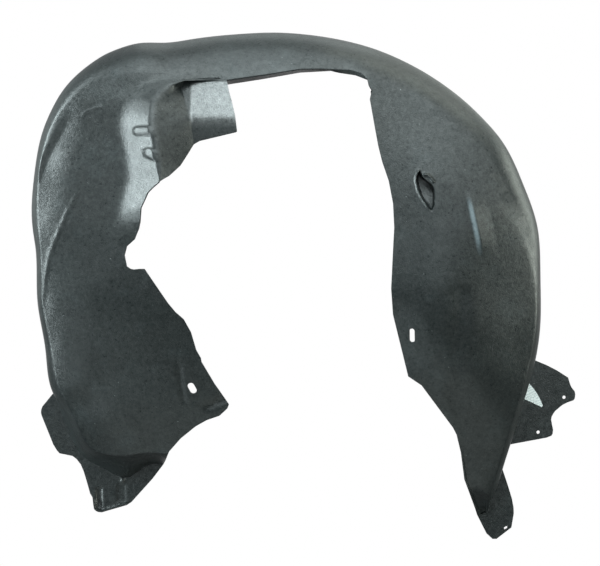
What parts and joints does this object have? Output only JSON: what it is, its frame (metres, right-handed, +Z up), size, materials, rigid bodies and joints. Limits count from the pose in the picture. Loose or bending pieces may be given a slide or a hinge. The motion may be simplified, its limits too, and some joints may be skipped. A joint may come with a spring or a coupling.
{
  "type": "wheel arch liner",
  "caption": "Moulded black sheet liner for a car's wheel arch, with a suspension opening, a strut pocket and an outboard fixing flange.",
  "frame": {"origin": "midway between the rear flange's screw holes, on the flange's outboard face", "axes": "+X along the car from the liner's front leg to its rear leg, +Y outboard, out of the flange's outboard face, +Z up"},
  "size_m": [0.7915, 0.2182, 0.7374],
  "materials": {
    "sheet": "fine grained, satin",
    "label": "matt film"
  },
  "bodies": {
    "root": {"wheel_arch_liner": "sheet", "label": "label"}
  },
  "joints": []
}
